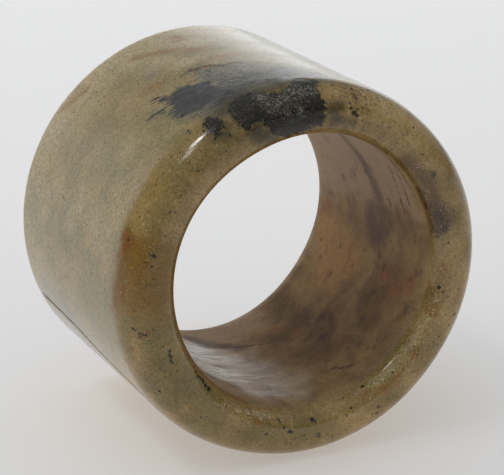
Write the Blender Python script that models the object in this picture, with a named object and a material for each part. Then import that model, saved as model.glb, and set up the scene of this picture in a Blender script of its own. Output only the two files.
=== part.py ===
"""An archer's thumb ring carved from one piece of jade, lying on its side. Metres, +Z up.

The bore runs along Y. The front end, towards -Y, has the rounder outer shoulder, and the back end
has the wider bore mouth. The origin is at the bottom centre, on the small flat spot that keeps the
ring from rolling.
"""

import math

import bmesh
import bpy

# The whole ring
OUTER_DIAMETER = 0.0320
BORE_DIAMETER = 0.0232
LENGTH = 0.0240

# Front end: a soft shoulder, longer along the ring than it is deep, then a narrow land and a lip
FRONT_SHOULDER_LENGTH = 0.0029
FRONT_SHOULDER_DEPTH = 0.0022
FRONT_LIP_RADIUS = 0.0016

# Back end: a crisp outer edge, a narrow land and a wide, eased bore mouth
BACK_EDGE_RADIUS = 0.0005
BACK_LIP_RADIUS = 0.0034

# The land that is always left between the two roundings of an end
LEAST_LAND = 0.0003

# The bore was drilled by hand, and its axis lies this far off the axis of the outside
BORE_SHIFT_X = 0.00010
BORE_SHIFT_Z = 0.00007

# Width of the flat spot along the underside
FLAT_SPOT_WIDTH = 0.0044

# How far the block that cuts the flat spot reaches past the ring
CUTTER_MARGIN = 0.0020

# Fineness of the turned surface
SIDES = 96
ROUNDING_STEPS = 6
SHARP_ANGLE = math.radians(35)
SEAM_DISTANCE = 1e-7

# Mottled olive jade with a satin polish
JADE_COLOUR = (0.205, 0.162, 0.093, 1.0)
JADE_ROUGHNESS = 0.32

OUTER_RADIUS = OUTER_DIAMETER / 2
BORE_RADIUS = BORE_DIAMETER / 2
WALL = OUTER_RADIUS - BORE_RADIUS
FRONT_Y = -LENGTH / 2
BACK_Y = LENGTH / 2

# Height of the ring's axis above the plane of the flat spot
AXIS_HEIGHT = math.sqrt(OUTER_RADIUS**2 - (FLAT_SPOT_WIDTH / 2) ** 2)


def clear_scene():
    for obj in list(bpy.data.objects):
        bpy.data.objects.remove(obj, do_unlink=True)


def rounding(end_y, wall_radius, along, across):
    """(y, radius) on a quarter ellipse, from where it leaves the wall to where it meets the end face.

    along points from the end face into the ring, and across points from the wall's surface into the stone.
    """
    stations = []
    for step in range(ROUNDING_STEPS + 1):
        turn = 0.5 * math.pi * step / ROUNDING_STEPS
        y = end_y + along * (1 - math.sin(turn))
        stations.append((y, wall_radius + across * (1 - math.cos(turn))))
    return stations


def share_of_wall(outer_depth, bore_depth):
    """How much of two roundings fits on one end face beside the least land."""
    return min(1.0, (WALL - LEAST_LAND) / (outer_depth + bore_depth))


def section():
    """The wall's section as (y, radius): outside from back to front, then the bore from front to back."""
    front = share_of_wall(FRONT_SHOULDER_DEPTH, FRONT_LIP_RADIUS)
    back = share_of_wall(BACK_EDGE_RADIUS, BACK_LIP_RADIUS)
    back_edge = back * BACK_EDGE_RADIUS
    back_lip = back * BACK_LIP_RADIUS
    shoulder_length = front * FRONT_SHOULDER_LENGTH
    shoulder_depth = front * FRONT_SHOULDER_DEPTH
    front_lip = front * FRONT_LIP_RADIUS

    outer = rounding(BACK_Y, OUTER_RADIUS, -back_edge, -back_edge)[::-1]
    outer += rounding(FRONT_Y, OUTER_RADIUS, shoulder_length, -shoulder_depth)
    bore = rounding(FRONT_Y, BORE_RADIUS, front_lip, front_lip)[::-1]
    bore += rounding(BACK_Y, BORE_RADIUS, -back_lip, back_lip)
    return outer, bore


def turned_mesh(name):
    """The section spun about Y, with the bore's side then moved off the axis by its shift."""
    outer, bore = section()
    bm = bmesh.new()
    in_bore = bm.verts.layers.int.new("in_bore")
    corners = []
    for stations, flag in ((outer, 0), (bore, 1)):
        for y, radius in stations:
            corner = bm.verts.new((radius, y, 0))
            corner[in_bore] = flag
            corners.append(corner)
    edges = [bm.edges.new((a, b)) for a, b in zip(corners, corners[1:] + corners[:1])]
    bmesh.ops.spin(
        bm,
        geom=corners + edges,
        axis=(0, 1, 0),
        cent=(0, 0, 0),
        angle=2 * math.pi,
        steps=SIDES,
        use_merge=True,
    )
    bmesh.ops.remove_doubles(bm, verts=bm.verts, dist=SEAM_DISTANCE)
    bore_verts = [vert for vert in bm.verts if vert[in_bore]]
    bmesh.ops.translate(bm, verts=bore_verts, vec=(BORE_SHIFT_X, 0, BORE_SHIFT_Z))
    bmesh.ops.recalc_face_normals(bm, faces=bm.faces)
    mesh = bpy.data.meshes.new(name)
    bm.to_mesh(mesh)
    bm.free()
    mesh.shade_smooth()
    mesh.set_sharp_from_angle(angle=SHARP_ANGLE)
    return mesh


def flat_spot_cutter():
    """A block below the plane of the flat spot, wider and longer than the ring."""
    depth = OUTER_RADIUS - AXIS_HEIGHT + CUTTER_MARGIN
    bm = bmesh.new()
    bmesh.ops.create_cube(bm, size=1)
    size = (OUTER_DIAMETER + CUTTER_MARGIN, LENGTH + 2 * CUTTER_MARGIN, depth)
    bmesh.ops.scale(bm, vec=size, verts=bm.verts)
    mesh = bpy.data.meshes.new("flat_spot_cutter")
    bm.to_mesh(mesh)
    bm.free()
    cutter = bpy.data.objects.new("flat_spot_cutter", mesh)
    cutter.location = (0, 0, -depth / 2)
    cutter.hide_render = True
    cutter.display_type = "WIRE"
    bpy.context.scene.collection.objects.link(cutter)
    return cutter


def jade_material():
    material = bpy.data.materials.new("jade")
    material.use_nodes = True
    shader = material.node_tree.nodes["Principled BSDF"]
    shader.inputs["Base Color"].default_value = JADE_COLOUR
    shader.inputs["Roughness"].default_value = JADE_ROUGHNESS
    shader.inputs["Metallic"].default_value = 0.0
    material.diffuse_color = JADE_COLOUR
    return material


def thumb_ring():
    mesh = turned_mesh("thumb_ring")
    mesh.materials.append(jade_material())
    ring = bpy.data.objects.new("thumb_ring", mesh)
    ring.location = (0, 0, AXIS_HEIGHT)
    bpy.context.scene.collection.objects.link(ring)
    cut = ring.modifiers.new("flat_spot", "BOOLEAN")
    cut.operation = "DIFFERENCE"
    cut.solver = "EXACT"
    cut.object = flat_spot_cutter()
    return ring


clear_scene()
thumb_ring()
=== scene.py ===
"""The looks of an archer's thumb ring in mottled jade, lying on its side on a pale floor.

Sizes are in millimetres and angles in degrees, unless a name says otherwise. A place on the ring is an
angle about the bore, from +X up towards +Z, and a station: the distance along the wall's section from the
outer edge of the front land. Stations grow over the shoulder and along the outside to the back end, and
fall below zero over the lip and along the bore.
"""

import functools
import math

import bpy
import numpy as np
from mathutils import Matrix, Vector, noise


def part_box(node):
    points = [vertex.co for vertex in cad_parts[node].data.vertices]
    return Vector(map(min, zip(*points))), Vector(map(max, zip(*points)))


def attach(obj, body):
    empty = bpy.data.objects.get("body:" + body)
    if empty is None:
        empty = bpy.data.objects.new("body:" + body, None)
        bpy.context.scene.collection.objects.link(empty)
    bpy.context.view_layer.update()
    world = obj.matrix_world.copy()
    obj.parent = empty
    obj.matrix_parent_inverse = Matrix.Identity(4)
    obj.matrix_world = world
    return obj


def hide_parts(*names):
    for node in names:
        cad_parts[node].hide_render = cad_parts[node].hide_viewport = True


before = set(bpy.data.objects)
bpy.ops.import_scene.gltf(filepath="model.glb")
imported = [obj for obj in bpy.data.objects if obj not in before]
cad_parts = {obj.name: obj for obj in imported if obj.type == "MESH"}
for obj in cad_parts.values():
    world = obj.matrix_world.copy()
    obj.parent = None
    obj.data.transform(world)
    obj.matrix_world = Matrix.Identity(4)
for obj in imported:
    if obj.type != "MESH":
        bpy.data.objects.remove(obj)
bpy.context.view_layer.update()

MM = 0.001

# The ring's own sizes, which are those of the CAD solid
RING_LOW, RING_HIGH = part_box("thumb_ring")
OUTER_RADIUS = (RING_HIGH.x - RING_LOW.x) / 2 / MM
LENGTH = (RING_HIGH.y - RING_LOW.y) / MM
AXIS_HEIGHT = RING_HIGH.z / MM - OUTER_RADIUS
BORE_RADIUS = 11.6
FRONT_SHOULDER_LENGTH = 2.9
FRONT_SHOULDER_DEPTH = 2.2
FRONT_LIP_RADIUS = 1.6
BACK_EDGE_RADIUS = 0.5
BACK_LIP_RADIUS = 3.4
BORE_SHIFT_X = 0.10
BORE_SHIFT_Z = 0.07
FRONT_Y = -LENGTH / 2
BACK_Y = LENGTH / 2
BACK_LAND = OUTER_RADIUS - BACK_EDGE_RADIUS - BORE_RADIUS - BACK_LIP_RADIUS

# How far the hand-turned outside and bore are from round: waves per turn, height and angle of a crest
OUTER_WAVES = ((2, 0.076, -6.0), (3, 0.014, -20.0), (4, 0.041, 10.0), (5, 0.026, 2.0))
BORE_WAVES = ((2, 0.067, -70.0), (3, 0.047, 55.0), (4, 0.040, -12.0), (5, 0.034, 1.0))

# Relief of the surface: waves a millimetre, seed and height of the hand polish, then the noise of coarse
# grains, how high they stand and how deep they are sunk in the black patch, and the depth of the crack.
# An edge is how deep inside a mark its relief starts and is full.
POLISH = ((0.16, 1, 0.030), (0.7, 2, 0.006))
GRAIN_NOISE = (1.9, 3)
SEED_SHIFT = (17.3, 5.1, 9.7)
PIT_HEIGHT = 0.035
PIT_DEPTH = 0.02
PIT_EDGE = (-0.3, 0.3)
FROST_HEIGHT = 0.02
FROST_EDGE = (-0.4, 0.3)
CRACK_DEPTH = 0.06
CRACK_WIDTH = 0.16
CRACK_END = (0, 0.2)

# Fineness of the mesh
SIDES = 512
ROUNDING_STEPS = {"back_edge": 5, "back_lip": 16, "front_lip": 16, "shoulder": 24}
WALL_STEP = 0.34
BORE_STEP = 0.40
FRONT_LAND_STEP = 0.16
BACK_LAND_STEP = 0.25

# Camera
CAMERA_AZIMUTH = -25.352
CAMERA_ELEVATION = 18.439
CAMERA_DISTANCE = 177.769
CAMERA_LENS = 148.942
CAMERA_SENSOR = 36
CAMERA_CLIP_METRES = 0.01
CAMERA_AIM_RIGHT = 0.368
CAMERA_AIM_UP = -0.069

# Floor. Its glow is painted light that lifts the ring's shadow: it grows with distance behind the ring, and
# is warmer near the ring as painted bounce from the stone.
FLOOR_HALF_METRES = 4.0
FLOOR_COLOUR = (0.55, 0.553, 0.560, 1.0)
FLOOR_ROUGHNESS = 0.7
FLOOR_GLOW = ((-140, 0.0), (-32, 0.325), (60, 0.43), (220, 0.52))
FLOOR_PAINTED_BOUNCE = (1.0, 0.93, 0.88)
FLOOR_PAINTED_BOUNCE_REACH = (12, 26)

# The tent round the ring: brightest low behind it, with a dark side and a dim dome. An edge is the cosine
# of the angle from that side where it starts and is full.
TENT_COLOUR = (0.97, 0.985, 1.0, 1.0)
BACKDROP_AZIMUTH = 152
BACKDROP_EDGE = (0.2, 1.0)
BACKDROP_FRONT_LEVEL = 0.25
BACKDROP_BACK_LEVEL = 1.35
BACKDROP_TOP = 10
SIDE_AZIMUTH = 75
SIDE_EDGE = (0.33, 0.66)
SIDE_LEVEL = 0.30
DOME_START = 26
DOME_LEVEL = 0.32

# Softboxes: name, azimuth, elevation, distance, size, radiance, and whether polished stone mirrors them
SOFTBOXES = (
    ("key", -100, 61, 500, 760, 0.43, False),
    ("spark", -93, 61, 480, 60, 22, True),
    ("glow", -77, 54, 480, 60, 8, True),
)

# The shares of stone along the section: stations of none and all of it. Two edges are crisp in one sector
# and soft elsewhere, and the paler back rim fades in another. A sector is a middle angle, reach and softness.
SOFT_END = (6.2, 1.8)
CRISP_END = (4.1, 3.4)
CRISP_END_SECTOR = (176, 12, 9)
END_AT_LIP = (-3.6, -2.6)
SOFT_BORE = (-2.6, -4.2)
CRISP_BORE = (-2.3, -3.0)
CRISP_BORE_SECTOR = (45, 35, 20)
BORE_FADE_AT_BACK = 3.0
BORE_DULL = (-2.3, -3.2)
BACK_RIM = (17.5, 24.5)
FADED_RIM = 0.6
FADED_RIM_SECTOR = (-170, 35, 25)

# How far from a hairline its own field is kept
HAIR_REACH = 0.45

# Specks: how far past its edge each one's vertices reach, how far apart those of one layer are, and the
# radius where there is none
SPECK_REACH = 0.5
SPECK_SPACING = 1.6
NO_SPECK = -1000.0

# The middle and slant of the smear's brushed lines
SMEAR_ANGLE = 115
SMEAR_SLANT = 0.37

# A distance past every mark, and what stands for no height in a division
FAR = 1e3
FLAT = 1e-9


def smooth(value, low, high):
    """0 below low, 1 above high and a smooth step between. low may be the larger of the two."""
    share = np.clip((value - low) / (high - low), 0, 1)
    return share * share * (3 - 2 * share)


def direction(azimuth, elevation):
    """Unit vector towards a place round the ring, with azimuth 0 in front and 90 at +X."""
    a, e = math.radians(azimuth), math.radians(elevation)
    return Vector((math.sin(a) * math.cos(e), -math.cos(a) * math.cos(e), math.sin(e)))


# The ring's grid


def rounding(end_y, wall_radius, along, across, steps):
    """(y, radius) on a quarter ellipse, from where it leaves the wall to where it meets the end face."""
    stations = []
    for step in range(steps + 1):
        turn = 0.5 * math.pi * step / steps
        stations.append((end_y + along * (1 - math.sin(turn)), wall_radius + across * (1 - math.cos(turn))))
    return stations


def run(start, end, step):
    """(y, radius) between two stations of the section, both left out."""
    (y0, r0), (y1, r1) = start, end
    count = max(1, round(math.hypot(y1 - y0, r1 - r0) / step))
    return [(y0 + (y1 - y0) * k / count, r0 + (r1 - r0) * k / count) for k in range(1, count)]


def section():
    """The section as y, radius, station and bore side, from the back land through the bore and round."""
    steps = ROUNDING_STEPS
    back_lip = rounding(BACK_Y, BORE_RADIUS, -BACK_LIP_RADIUS, BACK_LIP_RADIUS, steps["back_lip"])[::-1]
    front_lip = rounding(FRONT_Y, BORE_RADIUS, FRONT_LIP_RADIUS, FRONT_LIP_RADIUS, steps["front_lip"])
    shoulder = rounding(
        FRONT_Y, OUTER_RADIUS, FRONT_SHOULDER_LENGTH, -FRONT_SHOULDER_DEPTH, steps["shoulder"]
    )[::-1]
    back_edge = rounding(BACK_Y, OUTER_RADIUS, -BACK_EDGE_RADIUS, -BACK_EDGE_RADIUS, steps["back_edge"])
    front_land = run(front_lip[-1], shoulder[0], FRONT_LAND_STEP)
    bore_side = back_lip + run(back_lip[-1], front_lip[0], BORE_STEP) + front_lip
    outer_side = front_land + shoulder + run(shoulder[-1], back_edge[0], WALL_STEP) + back_edge
    outer_side += run(back_edge[-1], back_lip[0], BACK_LAND_STEP)
    points = np.array(bore_side + outer_side)
    lengths = np.hypot(*np.diff(points, axis=0).T)
    stations = np.concatenate([[0], np.cumsum(lengths)])
    stations -= stations[len(bore_side) + len(front_land)]
    in_bore = np.arange(len(points)) < len(bore_side)
    return points[:, 0], points[:, 1], stations, in_bore


def bore_share_of(station, in_bore):
    """1 on the bore's side, 0 on the outside, and even steps across both lands, where the two meet."""
    share = in_bore.astype(float)
    front = (station < 0) & ~in_bore
    share[front] = station[front] / station[in_bore].max()
    back_start = station.max() - BACK_LAND
    back = station > back_start
    share[back] = (station[back] - back_start) / BACK_LAND
    return share


def waves(angle, terms):
    total = np.zeros_like(angle)
    for count, height, crest in terms:
        total += height * np.cos(count * np.radians(angle - crest))
    return total


SECTION_Y, SECTION_RADIUS, STATION, IN_BORE = section()
ANGLE = np.arange(SIDES) * 360 / SIDES - 90
BORE_SHARE = bore_share_of(STATION, IN_BORE)[:, None]
ANGLES, STATIONS = np.meshgrid(ANGLE, STATION)
RADII = SECTION_RADIUS[:, None] + BORE_SHARE * waves(ANGLE, BORE_WAVES)
RADII = RADII + (1 - BORE_SHARE) * waves(ANGLE, OUTER_WAVES)


# Fields over the grid: shares of stone along the section, and those made from the marks


def turn_from(angle, centre):
    """How far an angle is from another, from -180 to 180."""
    return (angle - centre + 180) % 360 - 180


def sector(middle, reach, soft):
    """1 within reach of an angle, 0 past the soft edge."""
    return smooth(np.abs(turn_from(ANGLES, middle)), reach + soft, reach)


def part_crisp(soft, crisp, crisp_sector):
    """A share of stone with a soft edge that is crisp in one sector."""
    share = smooth(STATIONS, *soft)
    return share + (smooth(STATIONS, *crisp) - share) * sector(*crisp_sector)


BORE_BACK = STATION.min()
FIELDS = {
    "end_share": part_crisp(SOFT_END, CRISP_END, CRISP_END_SECTOR) * smooth(STATIONS, *END_AT_LIP),
    "bore_share": part_crisp(SOFT_BORE, CRISP_BORE, CRISP_BORE_SECTOR)
    * smooth(STATIONS, BORE_BACK, BORE_BACK + BORE_FADE_AT_BACK),
    "bore_dull": smooth(STATIONS, *BORE_DULL),
    "back_rim": smooth(STATIONS, *BACK_RIM) * (1 - FADED_RIM * sector(*FADED_RIM_SECTOR)),
}


def flat_place(points, centre):
    """Points given as (angle, station), laid out flat in millimetres round the angle of the centre."""
    order = np.argsort(STATION)
    laid = []
    for angle, station in points:
        radius = np.interp(station, STATION[order], SECTION_RADIUS[order])
        laid.append((math.radians(turn_from(angle, centre)) * radius, station))
    return laid


def flat_grid(centre):
    return np.radians(turn_from(ANGLES, centre)) * SECTION_RADIUS[:, None], STATIONS


def to_segment(across, along, start, end):
    """Distance to a segment, and on which side of it a point lies, as -1 or 1."""
    (x0, y0), (x1, y1) = start, end
    dx, dy = x1 - x0, y1 - y0
    share = np.clip(((across - x0) * dx + (along - y0) * dy) / (dx * dx + dy * dy), 0, 1)
    gap = np.hypot(across - x0 - share * dx, along - y0 - share * dy)
    side = np.sign((across - x0) * dy - (along - y0) * dx)
    return gap, side


def keep(name, field):
    """Adds a mark's field by name, or joins it to what has that name."""
    FIELDS[name] = np.maximum(FIELDS[name], field) if name in FIELDS else field


def patch(name, *outline):
    """How deep the grid lies inside a closed outline, negative outside it."""
    centre = outline[0][0]
    across, along = flat_grid(centre)
    corners = flat_place(outline, centre)
    nearest = np.full(ANGLES.shape, FAR)
    inside = np.zeros(ANGLES.shape, bool)
    for start, end in zip(corners, corners[1:] + corners[:1]):
        nearest = np.minimum(nearest, to_segment(across, along, start, end)[0])
        (x0, y0), (x1, y1) = start, end
        crosses = (y0 > along) != (y1 > along)
        inside ^= crosses & (across < x0 + (along - y0) * (x1 - x0) / (y1 - y0 if y1 != y0 else FLAT))
    keep(name, np.where(inside, nearest, -nearest))


def segments(points):
    """Distance and side of the grid to each segment of a line."""
    centre = points[0][0]
    laid = flat_place(points, centre)
    return [to_segment(*flat_grid(centre), start, end) for start, end in zip(laid, laid[1:])]


def trail(name, half_width, *lines):
    """How deep the grid lies inside trails of even width along some lines, negative outside them."""
    keep(name, half_width - np.minimum.reduce([gap for points in lines for gap, side in segments(points)]))


def hairline(name, *lines):
    """Distance to the nearest line, negative on one side, so that it stays crisp between vertices."""
    best = np.full(ANGLES.shape, FAR)
    for points in lines:
        for gap, side in segments(points):
            best = np.where(gap < np.abs(best), gap * np.where(side == 0, 1, side), best)
    keep(name, best)


def spots(name, *marks):
    """How deep the grid lies inside the nearest of several round spots."""
    best = np.full(ANGLES.shape, -FAR)
    for angle, station, radius in marks:
        across, along = flat_grid(angle)
        best = np.maximum(best, radius - np.hypot(across, along - station))
    keep(name, best)


# Marks in the stone: outlines and lines of (angle, station), and spots of (angle, station,
# radius). A trail's half width stands before its lines. Each is kept as a field of its name.

# The black inclusion: a granular patch over the front end, a blob beside it and flecks right of it
patch("black",
    (109.2, 3.7), (104.8, 3.4), (101.5, 2.6), (98.2, 2.4), (94.4, 2.8), (91.2, 3.8), (88.3, 3.8), (85.8, 3.3),
    (84.2, 2.9), (86.8, 2.2), (86.2, 1.2), (85.3, 0.3), (85.4, -0.7), (87.4, -1.4), (91.9, -1.7),
    (95.9, -1.8), (100.9, -1.8), (106, -1), (106.7, -0.1), (107.8, 0.6), (110.5, 0.5), (113.3, 0.3),
    (114.8, 1), (114.4, 1.9), (114.2, 2.8), (111.8, 3.4),
)
patch("blob",
    (122.2, 3.5), (120.2, 3.6), (118.8, 3.1), (117.6, 2.9), (118.2, 1.9), (120.2, 1.4), (122.2, 1.4),
    (123.6, 2), (123.4, 2.7),
)
spots("patch_grey",
    (95.5, 2.1, 0.7), (92.4, 2, 0.7), (89.2, 2, 0.5), (97.9, 1.7, 0.6), (104.1, 2.4, 0.6), (103.4, 1.7, 0.5),
    (102.5, 1.2, 0.4), (100.3, 1.5, 0.6), (99.3, 0.6, 0.4), (94.6, 0.3, 0.3),
)
spots("patch_fringe",
    (105.4, 3.7, 0.5), (102.3, 3.3, 0.5), (99.9, 2.9, 0.4), (109.5, 3.6, 0.5), (114, 1.5, 0.5),
    (110.4, 0.1, 0.7), (109, -0.7, 0.6), (106.5, -1.3, 0.4), (115.2, 2.9, 0.8), (113.4, 3.4, 0.6),
    (108.4, 0.7, 0.6), (96.5, 3, 0.5), (111.5, 3.6, 0.5), (82.5, 0.1, 0.5), (81, -0.7, 0.5), (82, -1.4, 0.4),
    (118.1, 1.7, 0.45), (119.8, 1.3, 0.4),
)
patch("flecks",
    (79, 2.9), (74, 3.05), (70.5, 2.9), (67, 2.3), (65.5, 1.4), (69, 0.7), (73, -0.1), (76.5, 0.1), (78, 0.7),
    (80, 1.5),
)
patch("lip_blot",
    (30.5, -2.1), (26.3, -1.8), (22.8, -1.2), (21.3, -0.7), (17.5, -0.3), (13.6, -0.2), (10.1, -0.9),
    (9.1, -1.9), (13, -2.3), (19.3, -2.4), (25.1, -2.5),
)
trail("lip_brown", 0.55, (
    (46, -1.7), (39, -1.5), (34, -1.3), (29, -1.2), (24, -1.4), (18.4, -1.5), (12, -1.5),
))
spots("lip_core",
    (15, -1.4, 0.35), (11.5, -1.3, 0.35), (10.4, -2, 0.25), (18, -1.7, 0.25), (22, -2.1, 0.2),
    (29, -2.1, 0.2), (33.5, -0.6, 0.2),
)

# Its blue-grey smear along the outside, the haze round it and its jagged dark edge
patch("smear",
    (123.6, 12.2), (121.6, 11.4), (120.2, 10.8), (116.7, 11.3), (113.7, 10.8), (111.9, 10.1), (109.3, 9.8),
    (109.1, 8.9), (109.7, 7.8), (108.8, 6.6), (107.7, 5), (107.6, 3.4), (110.2, 3.2), (113.2, 4.5),
    (116.6, 4.9), (119.3, 5.2), (121.8, 6), (124.6, 6.9), (125.8, 8.2), (123, 8.6), (122.4, 9.9),
    (123.1, 11.2),
)
trail("smear", 0.32, ((128.2, 9.95), (126.6, 9.7), (125.2, 9.4)))
spots("smear_dark",
    (118.5, 9.3, 1.2), (114.9, 8.7, 1.2), (112.1, 8.4, 0.9), (118.9, 7.5, 0.8), (122.2, 8, 0.6),
    (111.8, 6.8, 0.7),
)
patch("haze",
    (108.5, 12.3), (104.1, 12.1), (100.8, 11.1), (97, 11.2), (93.6, 10.5), (89, 9.4), (83.6, 8.6),
    (79.2, 7.2), (77, 4.4), (81, 3.3), (89.1, 3.9), (95.1, 3.2), (101.6, 3.1), (107.6, 3), (112.5, 2.4),
    (116.8, 2.6), (120.6, 4.4), (124, 6.2), (121.5, 7.2), (114.6, 6.2), (110.8, 7.6), (109.4, 9),
    (110.4, 10.3),
)
spots("haze_dark",
    (87.5, 6.8, 1.8), (83, 5.6, 1.8), (93, 6.2, 1.6), (98, 6.2, 1.5), (103.5, 6, 1.5), (108.5, 4.6, 1.3),
    (113.5, 4, 1.2), (117, 3.9, 0.8), (96, 4.4, 1),
)
spots("haze_thin",
    (92, 10.5, 1.4), (88, 9.2, 1.6), (84, 8.2, 1.6), (80, 7, 1.6), (96.5, 11.2, 0.8), (77, 5.5, 1.2),
)
spots("dull",
    (108.5, 4.6, 1.4), (113.5, 4, 1.3), (103, 4.6, 1.1), (98, 4.3, 0.9), (115.5, 3.4, 0.9), (112, 2.6, 1),
)
trail("smear_stain", 0.3, ((108.5, 13.1), (105.1, 12.6), (102.2, 11.8)))
SMEAR_EDGE = (
    (112.1, 12.8), (110.1, 13.1), (108.5, 13.4), (107.8, 12.7), (105.1, 12.9), (103.6, 12.6), (102.2, 12),
    (101.4, 11.3), (99.4, 11.4), (97.5, 11.5), (96.6, 10.9), (95.7, 10.3),
)

# Clouds of the outside, and a painted glare on its top
spots("green",
    (121.1, 19.2, 1.5), (121.8, 21.8, 1), (115.5, 18.7, 1.4), (139.6, 15.8, 1.8), (147, 16.1, 1.7),
    (154.6, 15.8, 1.5), (117, 13.6, 1.6), (130.6, 7.3, 1.4), (124.8, 5.3, 1.2), (136.5, 6.5, 1.4),
    (-167.9, 8.7, 1.6), (-166.8, 6.1, 1.5), (-172.3, 10.4, 1.3), (143, 12.5, 1.5), (150, 12.5, 1.4),
    (-177.5, 5.5, 1.5), (-179, 7.4, 1.2), (-173, 3.9, 1),
)
spots("ochre",
    (134.8, 23.2, 1.4), (142.2, 24, 1.3), (127.4, 13.1, 1.5), (131.4, 15.3, 1.2), (111.5, 20.1, 1.1),
    (107.7, 19.2, 1), (105.9, 17.1, 1), (102.2, 16.3, 1), (144.4, 21.1, 1.3), (122.9, 11.3, 1),
    (156.2, 21.3, 1.3), (153.6, 10.5, 1.1), (139.5, 22.8, 1), (98.7, 17.4, 1), (128, 22.8, 1),
    (87.6, 20.1, 1.3), (87.2, 16.2, 1.3), (88.5, 18.2, 1),
)
spots("cream",
    (102.8, 22.3, 1.6), (96.5, 20.9, 1.5), (110.6, 22.9, 1.3), (100.5, 13.3, 1), (161.5, 9.5, 1.6),
    (163.8, 6.9, 1.4), (157, 5.2, 1), (169, 19.8, 1.5), (159.9, 17.9, 1.3), (160.6, 13, 1.3),
    (98.1, 11.7, 0.8), (166.4, 14.2, 1.3), (140.9, 9.7, 1.1), (116, 23.6, 1.6), (121.5, 23.8, 1.2),
    (107, 22, 1.6), (113, 17.4, 1.2), (107, 15, 1.2), (103, 18.5, 0.9),
)
spots("top_cream",
    (111, 18.3, 1.6), (119.8, 24.1, 1.4), (115.4, 21, 1.5), (106.4, 15.8, 1.4), (101.8, 24, 2),
    (100.6, 19.3, 1.6),
)
# Painted glare: pale spots on the top of the outside, where it mirrors the bright backdrop
spots("top_painted_glare", (75, 9.5, 2.2), (73.4, 15.2, 2.8), (72, 20, 3.2), (66, 8.5, 2.5), (70, 5, 1.8), (62, 14, 3))
spots("blue",
    (131.5, 20.6, 0.4), (165.5, 15.5, 0.3), (118, 16.5, 0.9), (143.5, 21, 0.4), (-156, 20, 1.4),
    (-154.5, 15, 1.3), (-160, 17, 1.2), (-163, 21.5, 1), (-150.5, 9.5, 1.2),
)
trail(
    "orange_streaks", 0.4,
    ((115.4, 21.4), (112.4, 20.7), (108.2, 19.9), (106, 19.2), (102.9, 19), (101.6, 17.7), (97.3, 17)),
    ((97.3, 13.8), (92.1, 13.3), (88.7, 12.5)),
    ((83.4, 12.7), (81.2, 12), (77.9, 11.6)),
    ((98.8, 22.4), (99.6, 21)),
    ((122.9, 14.2), (120.6, 14.3), (119.3, 13.7)),
    ((140.9, 24), (138, 23.3), (132.4, 22.8)),
)

# A crack on the lower left of the outside, with a small loop off it, and faded hairlines
CRACK = (
    (-156.3, 23.7), (-155.8, 22.5), (-155.2, 20), (-154.2, 17.2), (-152.5, 15), (-150.5, 12.8), (-148.5, 9.5),
    (-146.5, 6.5), (-144, 4.1), (-141.5, 3.7),
)
trail("crack_stain", 0.35, CRACK[:6])
CRACK_LOOP = ((-153.5, 14.5), (-157, 12.4), (-159, 10.8), (-157.6, 10), (-155, 9.8))
FADED_HAIRS = (
    CRACK_LOOP,
    ((165.1, 17.3), (167.4, 17.0), (170.7, 16.3)),
    ((174.5, 14.6), (177.0, 14.1), (-179.0, 13.6)),
)
for hair, lines in (("crack", (CRACK,)), ("smear_edge", (SMEAR_EDGE,)), ("faded_hairs", FADED_HAIRS)):
    hairline(hair, *lines)
    trail(hair + "_near", HAIR_REACH, *lines)

# Stains and paler stone on the front end
spots("rust",
    (161.3, 3.45, 0.45), (161.3, 2.45, 0.4), (163.5, 2.8, 0.5), (166.9, 3.5, 0.3), (176.1, 2.5, 0.3),
    (178, 2.55, 0.3), (-178.9, 3.6, 0.35), (-176.8, 4.05, 0.3), (160.6, 2.9, 0.35), (166, 3.1, 0.3),
    (-170.2, 1.05, 0.25), (-171, 0.6, 0.2), (-166, 2.2, 0.25),
)
trail("brown_band", 0.4, (
    (159.5, 3.2), (163.8, 3), (168, 2.9), (171.5, 2.8), (174, 2.9), (177.6, 3.5), (-178.5, 3.5),
))
trail("band_fringe", 0.5, ((163, 4.2), (168, 4.2), (173, 4.1), (177.6, 4.6), (-178, 4.7), (-174.8, 4.2)))
trail("yellow_rim", 1.0, ((144, 2.3), (148.5, 2.6), (152.8, 2.8), (157.3, 3.4)))
patch("amber_end",
    (160.7, 3.3), (157.3, 0.8), (160.5, -1.8), (170, -2), (-179, -1.9), (-173, -0.8), (-175.5, 1.4),
    (-178.5, 3.5), (172, 3.3), (166, 3.4),
)
spots("end_shade",
    (-169.5, -0.6, 1.3), (-152.8, 1.9, 1.2), (-147.2, -0.3, 1.2), (-144.3, 1.9, 1.1), (-160, 0.6, 1),
    (-135, 1.2, 0.9), (-128, 2.6, 0.8), (-150, 3.6, 0.8), (-54, 0.8, 0.7), (12.5, 0, 0.6), (39.4, -1.9, 0.7),
    (34.5, -1.8, 0.6), (-113, 0.3, 0.8),
)
spots("end_stains",
    (81.4, -0.84, 0.6), (75.4, -0.9, 0.6), (111.7, -0.2, 0.7), (106.8, -0.6, 0.5), (113.3, 1.6, 0.5),
    (119.3, 1, 0.5), (122.3, 1.6, 0.5), (80, 0.6, 0.5), (69, -1.2, 0.4), (116, 0.2, 0.5),
)
spots("end_tan",
    (61.4, 1.35, 1.3), (48.1, 1.36, 1.3), (78, 1.5, 0.5), (35.8, 0.73, 0.9), (-12.6, -0.37, 0.8),
    (-23.7, -0.09, 0.8), (83, 1.7, 0.5), (68.8, 1.88, 0.9), (-50, 0.3, 1), (10, 1, 1.3), (2, 2.4, 1.2),
    (17, 2.2, 1), (2.4, -0.5, 1.3), (10.5, -0.8, 0.9), (-6, 0.3, 1.1), (137, 0.9, 0.9),
)
spots("end_pale", (64, 1.2, 1.2), (57, 1.2, 1.3), (50, 0.9, 1.2), (44, 1.3, 0.9), (70, 1.8, 0.6))
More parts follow.
